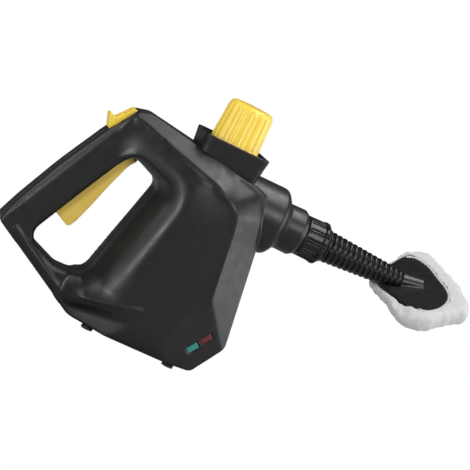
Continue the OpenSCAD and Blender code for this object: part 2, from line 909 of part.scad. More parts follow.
// ---- locking nut and ribbed extension tube ----
module locking_nut() {
  color([0.1, 0.1, 0.11])
    place()
      on_nozzle()
        difference() {
          rotate_extrude($fn = 96)
            polygon([[17.4, nut_x], [nut_r - 0.8, nut_x], [nut_r, nut_x + 0.8], [nut_r + 0.5, nut_end - 8],
              [nut_r + 1.4, nut_end - 6.4], [nut_r + 1.2, nut_end - 3.4], [18.4, nut_end], [15.6, nut_end],
              [15.6, tube_x + 3.2], [17.4, tube_x + 3.2]]);
          for (k = [0 : 11], side = [-4.4, 4.4])
            rotate([0, 0, 30 * k + side])
              translate([nut_r - 1.3, -1.1, nut_x + 3])
                cube([5, 2.2, 30]);
        }
}
function rib_r(k) = tube_r_start + (tube_r_end - tube_r_start) * k / (tube_ribs - 1);
module extension_tube() {
  color([0.09, 0.09, 0.09])
    place()
      on_nozzle()
        rotate_extrude($fn = 96)
          polygon(concat(
            [[tube_bore, tube_end], [tube_bore, tube_x], [17, tube_x], [17, tube_x + 2.8],
              [15.2, tube_x + 2.8],
              [15.2, nut_end + 0.5], [17.4, nut_end + 0.5], [17.4, nut_end + 1.8],
                [tube_r_start, rib_x - 0.8],
              [tube_r_start - 1.8, rib_x]],
            [for (k = [0 : tube_ribs - 1]) let (x = rib_x + k * rib_pitch, r = rib_r(k))
              each [[r - 1.8, x + 0.9], [r - 0.3, x + 1.4], [r, x + 2], [r, x + 3.8], [r - 0.3, x + 4.4],
                [r - 1.8, x + 4.9]]],
            [[tube_r_end - 1.8, tube_end]]));
}

// ---- tool head: kite plate with a rounded front on a swivel spigot, and the cloth pad drawn over it ----
function rear_pull(t, g) =
  pow(pow(max(0, cos(t - rear_a)), 12) + pow(max(0, cos(t + rear_a)), 12), 1 / 12) / (rear_d + g);
function front_pull(t, g) = norm([cos(t) / (head_a + g), sin(t) / (head_half_w + 3 + g)]);
function reach(t, g) = pow(pow(rear_pull(t, g), 9) + pow(front_pull(t, g), 9), -1 / 9);
function rim(t, g, k, z) = [head_s + reach(t, g) * k * cos(t), reach(t, g) * k * sin(t), z];
module head_plate() {
  color([0.08, 0.08, 0.08])
    place()
      difference() {
        union() {
          difference() {
            on_head()
              translate([0, 0, plate_low])
                linear_extrude(6)
                  polygon([for (t = [0 : 5 : 355]) flat(rim(t, 0, 1, 0))]);
            on_nozzle()
              translate([0, 0, tube_end - 34])
                cylinder(r1 = tube_r_end + 3.4, r2 = tube_r_end + 0.9, h = 34.5);
          }
          on_nozzle()
            translate([0, 0, tube_end - 14])
              cylinder(r = tube_bore - 0.06, h = 16.5);
          difference() {
            intersection() {
              on_head()
                rotate([0, 94, 0])
                  translate([0, 0, -12])
                    cylinder(r1 = 10.8, r2 = 7.6, h = 36);
              translate([tube_end + 0.5, -20, nozzle_z - 30])
                cube([60, 40, 60]);
            }
            on_head()
              translate([-6, -20, plate_low - 20])
                cube([64, 40, 20]);
          }
        }
        on_nozzle()
          translate([0, 0, tube_end - 20])
            cylinder(r = 5, h = 32);
        on_head()
          translate([10, 0, plate_low - 1])
            cylinder(r = 3.5, h = 5);
      }
}

// the cloth: a crowned pad under the plate whose hem is drawn over the plate's two front sides
hem_steps = 72;
function bump(t, at, wide) = exp(-pow((t > at + 180 ? t - 360 - at : t - at) / wide, 2));
function pad_g(t) =
  7 - 3 * pow(max(0, -cos(t)), 4) + 11.5 * bump(t, 260, 22) + 13.5 * bump(t, -31, 22) + 3 * bump(t, 10, 25)
    + 11 * bump(t, 68, 14);
function hem_in(t) = 3.4 + 9 * pow(max(0, cos(t - 34)), 3.5);
// the hem climbs the plate's edge within 104 degrees of the tip and lies over its top within 92
function ease(k) = k * k * (3 - 2 * k);
function ahead(t, from, span) = ease(max(0, min(1, (from - abs(t > 180 ? t - 360 : t)) / span)));
function fold(t) = 0.5 * sin(9 * t + 20) + 0.35 * sin(17 * t);
function mix(a, b, k) = a + (b - a) * k;
function tuck(t, z) = plate_low - 0.5 + (z - plate_low + 0.5) * (1 - pow(max(0, -cos(t)), 9));
function cloth_ring(t) =
  let (up = ahead(t, 106, 14), h = ahead(t, 92, 18), f = fold(t), g = pad_g(t), low = plate_low - cloth_t,
    e = mix(3, hem_in(t), h), far = 3 * max(0, sin(t)))
  [rim(t, 0, 0.3, low - 2), rim(t, 0, 0.7, low - 1.4), rim(t, g - 7, 1, low + 0.2),
    rim(t, g - 1.5 + f, 1, low + 2.8),
    rim(t, g + f, 1, plate_low - 2),
      rim(t, g - 0.6 - far / 3 + f, 1, tuck(t, mix(plate_low + 1.4, plate_top - 1.5, up))),
    rim(t, mix(3.6, g - 3 - far + f, up), 1, tuck(t, mix(plate_low + 3.2, plate_top + 1.4, up))),
    rim(t, mix(2.4, g - 7 - far + f, h), 1, tuck(t, mix(plate_low + 3.4, plate_top + 3.1, up))),
    rim(t, mix(1.6, 0.6 - e + f, h), 1, tuck(t, mix(plate_low + 2.8, plate_top + 2.6, up))),
    rim(t, mix(1.1, -e + f, h), 1, tuck(t, mix(plate_low + 2, plate_top + 0.4, up))),
    rim(t, 0.5, 1, tuck(t, mix(plate_low + 1, plate_top + 0.4, up))), rim(t, 0.5, 1, plate_low - 0.3),
    rim(t, 0, 0.4, plate_low - 0.3)];
module head_cloth() {
  n = hem_steps;
  rings = [for (j = [0 : n - 1]) cloth_ring(360 * j / n)];
  m = len(rings[0]);
  pts = concat([[head_s, 0, plate_low - cloth_t - 2.2]], [for (r = rings) each r],
    [[head_s, 0, plate_low - 0.3]]);
  last = len(pts) - 1;
  side = [for (j = [0 : n - 1], k = [0 : m - 2]) let (a = 1 + j * m + k, b = 1 + wrap(j + 1, n) * m + k)
    each [[a, a + 1, b + 1], [a, b + 1, b]]];
  low = [for (j = [0 : n - 1]) [0, 1 + j * m, 1 + wrap(j + 1, n) * m]];
  top = [for (j = [0 : n - 1]) [last, wrap(j + 1, n) * m + m, j * m + m]];
  color([0.95, 0.95, 0.94])
    place()
      difference() {
        on_head()
          polyhedron(pts, concat(side, low, top));
        on_nozzle()
          translate([0, 0, tube_end - 40])
            cylinder(r1 = tube_r_end + 3.4, r2 = tube_r_end + 1, h = 43, $fn = 40);
      }
}

// ---- indicator lenses and their lamp holder ----
module lens(p) {
  on_facet(p)
    union() {
      translate([-6, -3.5, -5])
        cube([12, 7, 4.4]);
      translate([-7, -4.5, -5])
        cube([14, 9, 1.8]);
    }
}
module green_lens() {
  color([0.1, 0.6, 0.5])
    place()
      lens(green_at);
}
module red_lens() {
  color([0.6, 0.08, 0.1])
    place()
      lens(red_at);
}
module lamp_holder() {
  color([0.8, 0.8, 0.78])
    place()
      union() {
        on_facet((green_at + red_at) / 2)
          translate([-15, -5, -11])
            cube([30, 10, 2]);
        for (p = [green_at, red_at])
          on_facet(p)
            translate([0, 0, -10])
              cylinder(r = 2.4, h = 4.7);
      }
}

housing_right();
housing_left();
front_shroud();
filler_collar();
cap_shell();
cap_core();
cap_spring();
cap_washer();
filler_neck();
lock_slider();
trigger();
trigger_pin();
trigger_spring();
valve_body();
valve_plunger();
valve_spring();
boiler_lower();
boiler_upper();
boiler_gasket();
boiler_bolts();
boiler_cradle();
heating_element();
thermostat();
thermal_fuse();
terminal_block();
steam_riser();
steam_hose();
outlet_nozzle();
outlet_seal();
locking_nut();
extension_tube();
head_plate();
head_cloth();
green_lens();
red_lens();
lamp_holder();
cord_gland();
feet();
housing_screws();
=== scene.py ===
import bpy
import bmesh
import json
import math
import numpy as np
from mathutils import Vector, Matrix, noise
from mathutils.bvhtree import BVHTree

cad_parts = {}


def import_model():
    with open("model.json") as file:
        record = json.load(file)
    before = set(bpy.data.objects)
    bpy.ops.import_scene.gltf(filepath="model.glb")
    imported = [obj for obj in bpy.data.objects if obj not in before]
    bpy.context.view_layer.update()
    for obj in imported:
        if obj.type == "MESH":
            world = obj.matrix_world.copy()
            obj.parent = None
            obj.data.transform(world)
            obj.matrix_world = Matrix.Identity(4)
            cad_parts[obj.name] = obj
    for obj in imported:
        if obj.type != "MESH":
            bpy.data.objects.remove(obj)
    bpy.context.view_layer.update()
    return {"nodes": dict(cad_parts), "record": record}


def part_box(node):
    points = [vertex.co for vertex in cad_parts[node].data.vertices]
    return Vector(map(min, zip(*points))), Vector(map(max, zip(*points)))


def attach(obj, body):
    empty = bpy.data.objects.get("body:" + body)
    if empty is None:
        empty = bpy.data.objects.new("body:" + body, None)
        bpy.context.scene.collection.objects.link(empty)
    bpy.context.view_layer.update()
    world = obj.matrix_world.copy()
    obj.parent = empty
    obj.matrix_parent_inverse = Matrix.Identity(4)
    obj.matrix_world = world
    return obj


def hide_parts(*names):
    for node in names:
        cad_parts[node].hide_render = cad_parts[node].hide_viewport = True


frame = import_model()
NODES = frame["nodes"]
SCENE = bpy.context.scene
# Lengths in mm count x from the filler cap's axis and z from the floor. SHIFT moves them into the
# frame, in metres; the trigger's pin tells where that axis is.
PIN_TO_CAP = 0.082
SHIFT = sum(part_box("trigger_pin")[i][0] for i in (0, 1)) / 2 + PIN_TO_CAP
MM = 1000


# ---------------------------------------------------------------- camera, floor and light
FRAME_PIXELS, FOCAL_PIXELS, SENSOR = 470, 2000, 36
CAMERA_TURN, CAMERA_DROP, CAMERA_ROLL = 16.2, 6.74, 27
CAMERA_DISTANCE, CAMERA_CLIP = 2.0, (0.05, 20)
CAMERA_TARGET = Vector((0.04269 + SHIFT, 0, 0.14222))
LIGHT_TARGET = Vector((0.0, 0, 0.13))
# name, direction from the target, distance, width and height in metres, power
LIGHTS = [
    ("front", (1.0, -0.12, 0.05), 1.5, (1.3, 1.3), 20),
    ("streak", (-0.8, -0.6, 0.0), 1.7, (0.36, 0.7), 15),
    ("top", (0.3, -0.05, 1.0), 1.6, (1.2, 0.6), 17),
    ("rim", (-0.86, 0.0, 0.46), 1.7, (0.9, 1.0), 9),
    ("fill", (0.3, -0.92, 0.5), 2.1, (1.1, 0.55), 17),
]
WHITE = (1, 1, 1)
STUDIO_COLOUR, STUDIO_STRENGTH = (0.86, 0.88, 0.92), 0.12
FLOOR_COLOUR, FLOOR_HALF, FLOOR_DROP = (0.42, 0.42, 0.42), 6, 0.0006


def new_object(name, bm):
    """An object in the scene from a bmesh, which is freed."""
    mesh = bpy.data.meshes.new(name)
    bm.to_mesh(mesh)
    bm.free()
    obj = bpy.data.objects.new(name, mesh)
    SCENE.collection.objects.link(obj)
    return obj


def camera():
    turn, drop, roll = (math.radians(v) for v in (CAMERA_TURN, CAMERA_DROP, CAMERA_ROLL))
    ahead = Vector((math.sin(turn) * math.cos(drop), math.cos(turn) * math.cos(drop),
                    -math.sin(drop)))
    level = Vector((math.cos(turn), -math.sin(turn), 0))
    rise = Vector((math.sin(turn) * math.sin(drop), math.cos(turn) * math.sin(drop),
                   math.cos(drop)))
    right = level * math.cos(roll) + rise * math.sin(roll)
    up = rise * math.cos(roll) - level * math.sin(roll)
    data = bpy.data.cameras.new("camera")
    data.sensor_width = SENSOR
    data.lens = SENSOR * FOCAL_PIXELS / FRAME_PIXELS
    data.clip_start, data.clip_end = CAMERA_CLIP
    obj = bpy.data.objects.new("camera", data)
    SCENE.collection.objects.link(obj)
    place = Matrix((right, up, -ahead)).transposed().to_4x4()
    place.translation = CAMERA_TARGET - ahead * CAMERA_DISTANCE
    obj.matrix_world = place
    SCENE.camera = obj


def area_light(name, direction, distance, size, power):
    data = bpy.data.lights.new(name, "AREA")
    data.shape = "RECTANGLE"
    data.size, data.size_y = size
    data.energy = power
    light = bpy.data.objects.new(name, data)
    SCENE.collection.objects.link(light)
    away = Vector(direction).normalized()
    light.location = LIGHT_TARGET + away * distance
    light.rotation_mode = "QUATERNION"
    light.rotation_quaternion = (-away).to_track_quat("-Z", "Y")


def simple_shader(tree, kind, colour, strength=None):
    node = tree.nodes.new(kind)
    node.inputs["Color"].default_value = (*colour, 1)
    if strength is not None:
        node.inputs["Strength"].default_value = strength
    return node.outputs[0]


def white_to_rays(tree, output, lit, white, *rays):
    """The surface is white to the rays named, and lit to all others."""
    mix = tree.nodes.new("ShaderNodeMixShader")
    path = tree.nodes.new("ShaderNodeLightPath")
    choice = path.outputs[rays[0]]
    for ray in rays[1:]:
        both = tree.nodes.new("ShaderNodeMath")
        both.operation = "MAXIMUM"
        tree.links.new(choice, both.inputs[0])
        tree.links.new(path.outputs[ray], both.inputs[1])
        choice = both.outputs[0]
    for socket, value in zip(mix.inputs, (choice, lit, white)):
        tree.links.new(value, socket)
    tree.links.new(mix.outputs[0], tree.nodes.new(output).inputs["Surface"])


def world():
    studio = bpy.data.worlds.new("studio")
    SCENE.world = studio
    studio.use_nodes = True
    tree = studio.node_tree
    tree.nodes.clear()
    lit = simple_shader(tree, "ShaderNodeBackground", STUDIO_COLOUR, STUDIO_STRENGTH)
    white = simple_shader(tree, "ShaderNodeBackground", WHITE, 1.0)
    white_to_rays(tree, "ShaderNodeOutputWorld", lit, white, "Is Camera Ray")


def floor():
    bm = bmesh.new()
    bmesh.ops.create_grid(bm, x_segments=1, y_segments=1, size=FLOOR_HALF)
    obj = new_object("studio_floor", bm)
    obj.location.z = -FLOOR_DROP
    material = bpy.data.materials.new("floor_white")
    material.use_nodes = True
    tree = material.node_tree
    tree.nodes.clear()
    lit = simple_shader(tree, "ShaderNodeBsdfDiffuse", FLOOR_COLOUR)
    white = simple_shader(tree, "ShaderNodeEmission", WHITE, 1.0)
    white_to_rays(tree, "ShaderNodeOutputMaterial", lit, white,
                  "Is Camera Ray", "Is Transmission Ray")
    obj.data.materials.append(material)


camera()
SCENE.view_settings.view_transform = "Standard"
for lamp in LIGHTS:
    area_light(*lamp)
world()
floor()


# ---------------------------------------------------------------- materials
class Nodes:
    """A short way to build a node tree. Texture scales are per metre."""

    def __init__(self, name):
        self.material = bpy.data.materials.new(name)
        self.material.use_nodes = True
        self.tree = self.material.node_tree
        self.shader = self.tree.nodes["Principled BSDF"]
        self.place = self.add("ShaderNodeTexCoord").outputs["Object"]

    def add(self, kind, **inputs):
        node = self.tree.nodes.new(kind)
        for key, value in inputs.items():
            node.inputs[key.replace("_", " ")].default_value = value
        return node

    def link(self, a, b):
        self.tree.links.new(a, b)

    def set(self, **values):
        for key, value in values.items():
            self.shader.inputs[key.replace("_", " ")].default_value = value

    def noise(self, scale, detail=3.0, rough=0.5, stretch=None):
        node = self.add("ShaderNodeTexNoise", Scale=scale, Detail=detail, Roughness=rough)
        place = self.place
        if stretch:
            mapping = self.add("ShaderNodeMapping", Scale=stretch)
            self.link(place, mapping.inputs["Vector"])
            place = mapping.outputs["Vector"]
        self.link(place, node.inputs["Vector"])
        return node.outputs["Fac"]

    def cells(self, scale):
        node = self.add("ShaderNodeTexVoronoi", Scale=scale)
        self.link(self.place, node.inputs["Vector"])
        return node.outputs["Distance"]

    def ramp(self, value, stops):
        node = self.add("ShaderNodeValToRGB")
        elements = node.color_ramp.elements
        while len(elements) < len(stops):
            elements.new(0.5)
        for element, (position, colour) in zip(elements, stops):
            element.position = position
            element.color = (*colour, 1)
        self.link(value, node.inputs["Fac"])
        return node.outputs["Color"]

    def spread(self, value, low, high):
        """The middle of a noise's range, where most of it lies, stretched over low to high."""
        node = self.add("ShaderNodeMapRange", From_Min=0.3, From_Max=0.7, To_Min=low, To_Max=high)
        self.link(value, node.inputs["Value"])
        return node.outputs["Result"]

    def colour(self, value):
        self.link(value, self.shader.inputs["Base Color"])

    def rough(self, value):
        self.link(value, self.shader.inputs["Roughness"])

    def bump(self, *layers):
        """layers are (height, strength, distance in metres)."""
        last = None
        for height, strength, distance in layers:
            node = self.add("ShaderNodeBump", Strength=strength, Distance=distance)
            self.link(height, node.inputs["Height"])
            if last:
                self.link(last, node.inputs["Normal"])
            last = node.outputs["Normal"]
        self.link(last, self.shader.inputs["Normal"])


def tone(colour, factor):
    return tuple(min(1, x * factor) for x in colour)


def plastic(name, base, rough, grain=900, depth=0.00004, vary=0.12, coat=0.0, level=0.5):
    """Moulded plastic: clouded colour, uneven gloss, fine grain over a soft unevenness."""
    n = Nodes(name)
    cloud = n.noise(scale=38, detail=4, rough=0.6)
    n.colour(n.ramp(cloud, [(0.25, tone(base, 1 - vary)), (0.75, tone(base, 1 + vary))]))
    n.rough(n.spread(n.noise(scale=120, detail=5, rough=0.65), rough - 0.06, rough + 0.07))
    n.bump((n.noise(scale=grain, detail=2, rough=0.6), 0.5, depth),
           (n.noise(scale=46, detail=2), 0.35, 0.00012))
    n.set(Coat_Weight=coat, Coat_Roughness=0.2, Specular_IOR_Level=level)
    return n.material


def metal(name, base, rough, stretch=None, grain=700, depth=0.00003):
    n = Nodes(name)
    streak = n.noise(scale=grain, detail=4, rough=0.6, stretch=stretch)
    n.colour(n.ramp(streak, [(0.2, tone(base, 0.8)), (0.8, tone(base, 1.15))]))
    n.rough(n.spread(n.noise(scale=90, detail=4), rough - 0.08, rough + 0.1))
    n.bump((streak, 0.5, depth))
    n.set(Metallic=1.0)
    return n.material


def lens_plastic(name, base):
    n = Nodes(name)
    cloud = n.noise(scale=160, detail=2)
    n.colour(n.ramp(cloud, [(0.3, tone(base, 0.85)), (0.7, tone(base, 1.2))]))
    n.rough(n.spread(n.noise(scale=200, detail=3), 0.12, 0.2))
    n.bump((n.noise(scale=400, detail=2), 0.2, 0.00002))
    n.set(Coat_Weight=0.6, Coat_Roughness=0.06, IOR=1.49, Transmission_Weight=0.25)
    return n.material


def cloth_material(name, base):
    """White terry: tufts, the loops of its pile, and a sheen."""
    n = Nodes(name)
    pile = n.cells(scale=900)
    tuft = n.noise(scale=260, detail=5, rough=0.7)
    n.colour(n.ramp(tuft, [(0.3, tone(base, 0.93)), (0.6, base), (0.85, tone(base, 1.05))]))
    n.rough(n.spread(tuft, 0.85, 1.0))
    n.bump((tuft, 0.7, 0.0007), (pile, 0.5, 0.0004))
    n.set(Sheen_Weight=0.25, Sheen_Roughness=0.6, Specular_IOR_Level=0.15)
    return n.material


SLOTS = {
    "housing_black": plastic("housing_black", (0.0095, 0.0095, 0.01), 0.38, grain=1100,
                             depth=0.00002, vary=0.1, level=0.42),
    "attachment_black": plastic("attachment_black", (0.006, 0.006, 0.0062), 0.3, grain=1400,
                                depth=0.00002, level=0.35),
    "yellow_plastic": plastic("yellow_plastic", (0.93, 0.66, 0.075), 0.36, depth=0.00002,
                              vary=0.03, coat=0.15),
    # painted shade: the trigger's yellow is darker than the cap's yellow because the trigger sits
    # in shade under the handle
    "trigger_plastic": plastic("trigger_plastic", (0.72, 0.50, 0.09), 0.42, depth=0.00003,
                               vary=0.04),
    "inner_plastic": plastic("inner_plastic", (0.045, 0.045, 0.048), 0.5, grain=700),
    "foot_rubber": plastic("foot_rubber", (0.02, 0.02, 0.02), 0.7, grain=600, depth=0.00006),
    "seal_rubber": plastic("seal_rubber", (0.36, 0.05, 0.03), 0.55, grain=600, depth=0.00005),
    "spring_steel": metal("spring_steel", (0.62, 0.62, 0.64), 0.28, stretch=(1, 1, 6)),
    "heater_steel": metal("heater_steel", (0.33, 0.31, 0.29), 0.4),
    "boiler_aluminium": metal("boiler_aluminium", (0.6, 0.6, 0.61), 0.5, grain=260,
                              depth=0.00012),
    "brass": metal("brass", (0.66, 0.46, 0.17), 0.3, stretch=(1, 8, 1)),
    "ceramic_white": plastic("ceramic_white", (0.78, 0.75, 0.68), 0.6, grain=500,
                             depth=0.00005, vary=0.05),
    "white_cloth": cloth_material("white_cloth", (0.55, 0.55, 0.548)),
    "green_lens": lens_plastic("green_lens", (0.03, 0.33, 0.27)),
    "red_lens": lens_plastic("red_lens", (0.16, 0.008, 0.012)),
}
for part in frame["record"]["subparts"]:
    slots = NODES[part["node"]].data.materials
    slots.clear()
    slots.append(SLOTS[part["material_slot"]])


# ---------------------------------------------------------------- helpers for the pieces
def copy_mesh(name, node):
    bm = bmesh.new()
    bm.from_mesh(NODES[node].data)
    return new_object(name, bm)


def closed_object(name, verts, faces):
    """An object of these vertices and faces, with all its faces turned outward."""
    mesh = bpy.data.meshes.new(name + "_raw")
    mesh.from_pydata([tuple(v) for v in verts], [], faces)
    mesh.validate()
    bm = bmesh.new()
    bm.from_mesh(mesh)
    bmesh.ops.recalc_face_normals(bm, faces=bm.faces)
    bpy.data.meshes.remove(mesh)
    return new_object(name, bm)


def ring_faces(rings, sides, closed):
    """Quads between neighbouring rings of vertices, and from the last to the first if closed."""
    faces = []
    for ring in range(rings if closed else rings - 1):
        a, b = ring * sides, (ring + 1) % rings * sides
        for i in range(sides):
            j = (i + 1) % sides
            faces.append((a + i, b + i, b + j, a + j))
    return faces


def apply_modifiers(obj):
    bpy.context.view_layer.update()
    graph = bpy.context.evaluated_depsgraph_get()
    mesh = bpy.data.meshes.new_from_object(obj.evaluated_get(graph))
    obj.modifiers.clear()
    old, obj.data = obj.data, mesh
    bpy.data.meshes.remove(old)
    mesh.name = obj.name


def add_smooth(obj, name, rounds, group=""):
    m = obj.modifiers.new(name, "SMOOTH")
    m.factor, m.iterations, m.vertex_group = 0.5, rounds, group


def even_out(obj, voxel, rounds):
    """Even faces of one voxel's size, in metres, and then some rounds of smoothing."""
    m = obj.modifiers.new("even", "REMESH")
    m.mode = "VOXEL"
    m.voxel_size = voxel
    add_smooth(obj, "soften", rounds)
    apply_modifiers(obj)


def dress(obj, node, body, slot_name):
    """Gives the piece its material, body and slot, and hides the CAD node that it stands for."""
    obj.data.materials.clear()
    obj.data.materials.append(SLOTS[slot_name])
    for face in obj.data.polygons:
        face.use_smooth = True
    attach(obj, body)
    if node:
        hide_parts(node)


def moulded(node, body, slot_name, voxel, rounds):
    """The CAD piece with its edges rounded as a mould leaves them."""
    obj = copy_mesh(node + "_skin", node)
    even_out(obj, voxel, rounds)
    dress(obj, node, body, slot_name)
    return obj


def step(a, b, x):
    """A smooth step from 0 at a to 1 at b."""
    t = np.clip((x - a) / (b - a), 0, 1)
    return t * t * (3 - 2 * t)


def soft_least(a, b, r):
    """The lesser of a and b, blended over about r where they are close."""
    return 0.5 * (a + b - np.sqrt((a - b) ** 2 + r * r))


def rounded(points, steps=8):
    """A closed outline in mm whose corners [x, z, r] are turned into arcs."""
    out = []
    for i, (x, z, radius) in enumerate(points):
        corner, before, after = (Vector(points[j % len(points)][:2]) for j in (i, i - 1, i + 1))
        to_before, to_after = (before - corner).normalized(), (after - corner).normalized()
        half = to_before.angle(to_after) / 2
        cut = min(radius / math.tan(half), (before - corner).length / 2,
                  (after - corner).length / 2)
        r = cut * math.tan(half)
        centre = corner + (to_before + to_after).normalized() * (r / math.sin(half))
        first, last = corner + to_before * cut - centre, corner + to_after * cut - centre
        turn = -first.angle_signed(last)
        start = math.atan2(first.y, first.x)
        for k in range(steps + 1):
            t = start + turn * k / steps
            out.append((centre.x + r * math.cos(t), centre.y + r * math.sin(t)))
    return out


def cut_corners(points, rounds):
    """A chain of points whose corners are cut again and again, with its two ends kept."""
    for _ in range(rounds):
        points = [points[0]] + [(a[0] + (b[0] - a[0]) * t, a[1] + (b[1] - a[1]) * t)
                                for a, b in zip(points, points[1:]) for t in (0.25, 0.75)
                                ] + [points[-1]]
    return points


def line_distance(X, Z, points, closed=True):
    """Distance in mm from each place to a chain of points."""
    best = np.full(X.shape, 1e9)
    n = len(points)
    for i in range(n if closed else n - 1):
        ax, az = points[i]
        bx, bz = points[(i + 1) % n]
        dx, dz = bx - ax, bz - az
        k = np.clip(((X - ax) * dx + (Z - az) * dz) / max(dx * dx + dz * dz, 1e-9), 0, 1)
        best = np.minimum(best, np.hypot(X - ax - k * dx, Z - az - k * dz))
    return best


# ---------------------------------------------------------------- housing: lines and sizes in mm
# the handle loop's rim, the inner edge of the flat strip that runs along the roof and down the
# front, and the strip's outer edge round the front corner
LOOP = rounded([(-148.2, 58.1, 13), (-109.5, 42.4, 14), (-80.2, 42.4, 19), (-52.4, 157.5, 10),
                (-91.4, 173.5, 12)])
STRIP = [(-102.5, 212.2), (-74.6, 203.2), (-42.0, 193.3), (-1.0, 183.2), (13.6, 178.1),
         (23.1, 166.8), (29.3, 147.8), (35.3, 112.8), (41.3, 83.6), (50.5, 67.7), (67.2, 47.0)]
STRIP_BEND = 4
EDGE = cut_corners([(10, 199.5), (33.7, 191.6), (43, 187), (48.4, 180.7), (52, 172),
                    (54.5, 162.5), (58.9, 141.1), (66, 100)], rounds=3)
# seats of the lamp lenses in the right half and of the screw posts in the left half
LENSES = [(43.9, 28.2), (52.8, 41.5)]
POSTS = [(-162, 76), (-98.6, 191.2), (-72, 16), (53, 14), (50, 121), (-62, 170)]
SEAT_REACH = (6, 9)
# the flank's roll towards the loop: at each height, its radius and where it starts from the rim
FLANK_Z = (46, 66, 91, 129, 160)
FLANK_RADIUS = (55, 52, 46, 38, 26)
FLANK_START = (49.5, 43, 35, 27, 14.5)
FLANK_DEPTH, FULLEST_TURN = 39.5, 0.998
RIM_HALF, RIM_SLOPE, RIM_BLEND = 18.5, 2.4, 6
SIDE_HALF, SIDE_BLEND = 58.4, 8
SHOULDER_X, SHOULDER_Z, SHOULDER_HALF, SHOULDER_ALONG, SHOULDER_UP = -42, 193.3, 45, 0.4, -0.27
# the lower crease, and the lip above it and the recess below it
CREASE_X0, CREASE_X1, CREASE_Z0, CREASE_RISE = -92.6, -26, 25, 0.237
LIP, LIP_REACH, RECESS, RECESS_REACH = 1.2, 4, 2.2, 7
BELOW_CREASE = 16
UNDERSIDE_Z, UNDERSIDE_X, UNDERSIDE_RISE = 3.5, -80, 0.569
# the front corner, where the strip turns down beside the boss
CORNER_X, CORNER_Z, CORNER_SQUASH = 36, 172, 0.9
EDGE_HALF, EDGE_SLOPE, EDGE_BLEND = 36, 0.95, 3
# places (x, z, reach, weight) where the skin is rounded off further: the front corner, two along
# the strip's bend, and the start of the crease
ROUNDED = [(48, 182, 28, 1), (24, 197, 14, 1), (4, 179, 18, 0.7), (-90, 30, 18, 1)]
ROUNDED_ROUNDS = 26
# how far the handle and the body roll in at the loop's rim: reach in mm, and the share kept there
HANDLE_REACH, HANDLE_KEEP, BODY_REACH, BODY_KEEP, ROLL_POWER = 9, 0.72, 4, 0.88, 2.2
# fades, each from 0 at its first number to 1 at its second: where the CAD's creases melt, where
# the corner and the flank take over, and which faces of the skin are set as its outer face
INSIDE_FADE, CALM_STRIP = (0, 5), (2, 14)
CALM_REAR, CALM_FRONT, CALM_LOW = (-118, -100), (20, 40), (44, 66)
MELT_LOW, MELT_LOOP, CORNER_REACH = (44, 60), (3, 14), (24, 42)
BACK_REAR, BACK_FRONT, BACK_TOP, BACK_LOW = (-98, -80), (-30, -6), (0, 8), (5, 13)
BACK_LEAN, BACK_LEAN_Z = 10, (140, 170)
CREASE_FADE, RECESS_END = (-2, 2), (-60, -24)
LEDGE_UP, LEDGE_REAR, LEDGE_FRONT, LEDGE_REACH = (0.2, 0.5), (-90, -84), (-26, -22), (7, 10)
OUTER_FACING, OUTER_DEPTH, OUTER_LEAST = (0.3, 0.7), (-0.008, -0.004), (0.003, 0.006)
BASE_FADE = (8, 14)
# blur of the shoulder, the corner and the whole calm area, in cells
SHOULDER_BLUR, CORNER_BLUR, MELT_BLUR = 8.0, 1.4, 4.0
# sizes in metres: the grid's cell and margin, the skin's voxel, the front wall, the least width
CELL, GRID_MARGIN = 0.0015, 0.012
SKIN_VOXEL, SKIN_ROUNDS, LAST_ROUNDS = 0.0012, 7, 4
FRONT_WALL, FRONT_X, FRONT_Z = 0.0026, -0.045, 0.09
CORE_CELLS, GROWN_CELLS, LEAST_WIDTH = 2, 9, 0.001


def columns(points):
    return [q[0] for q in points], [q[1] for q in points]


def flank(X, Z, loop):
    """The half width of the body's flank in mm, which rolls in towards the handle loop."""
    radius = np.interp(Z, FLANK_Z, FLANK_RADIUS)
    start = np.interp(Z, FLANK_Z, FLANK_START)
    turn = np.clip(start - loop, 0, radius * FULLEST_TURN)
    rolled = FLANK_DEPTH - radius + np.sqrt(radius ** 2 - turn ** 2)
    shoulder = (SHOULDER_HALF + SHOULDER_ALONG * (X - SHOULDER_X)
                + SHOULDER_UP * (Z - SHOULDER_Z))
    flat = soft_least(shoulder, SIDE_HALF, SIDE_BLEND)
    turned = RIM_HALF + (flat - RIM_HALF) * rolled / FLANK_DEPTH
    return soft_least(turned, RIM_HALF + RIM_SLOPE * loop, RIM_BLEND)


def crease_height(x):
    return CREASE_Z0 + (x - CREASE_X0) * CREASE_RISE


def blur(grid, mask, sigma):
    """Gaussian blur of a grid, sigma in cells, that counts only the masked cells."""
    reach = max(1, int(3 * sigma))
    weights = np.exp(-0.5 * (np.arange(-reach, reach + 1) / sigma) ** 2)

    def along(a, axis):
        out = np.zeros_like(a)
        for i, w in zip(range(-reach, reach + 1), weights):
            out += w * np.roll(a, i, axis)
        return out

    total = along(along(np.where(mask, grid, 0.0), 0), 1)
    count = along(along(mask.astype(float), 0), 1)
    return np.where(mask, total / np.maximum(count, 1e-9), 0.0)


def grow_once(grid, known):
    """Lets the known cells of a grid grow by one cell."""
    total, count = np.zeros_like(grid), np.zeros_like(grid)
    for shift in ((1, 0), (-1, 0), (0, 1), (0, -1), (1, 1), (-1, -1), (1, -1), (-1, 1)):
        there = np.roll(known, shift, (0, 1))
        total += np.where(there, np.roll(grid, shift, (0, 1)), 0)
        count += there
    grow = ~known & (count > 0)
    grid[grow] = total[grow] / count[grow]
    known |= grow


def grown(grid, known):
    """The grid's known cells, spread outward past its border so that sampling stays smooth."""
    grid, known = np.where(known, grid, 0.0), known.copy()
    for _ in range(GROWN_CELLS):
        grow_once(grid, known)
    grid[~known] = LEAST_WIDTH
    return grid


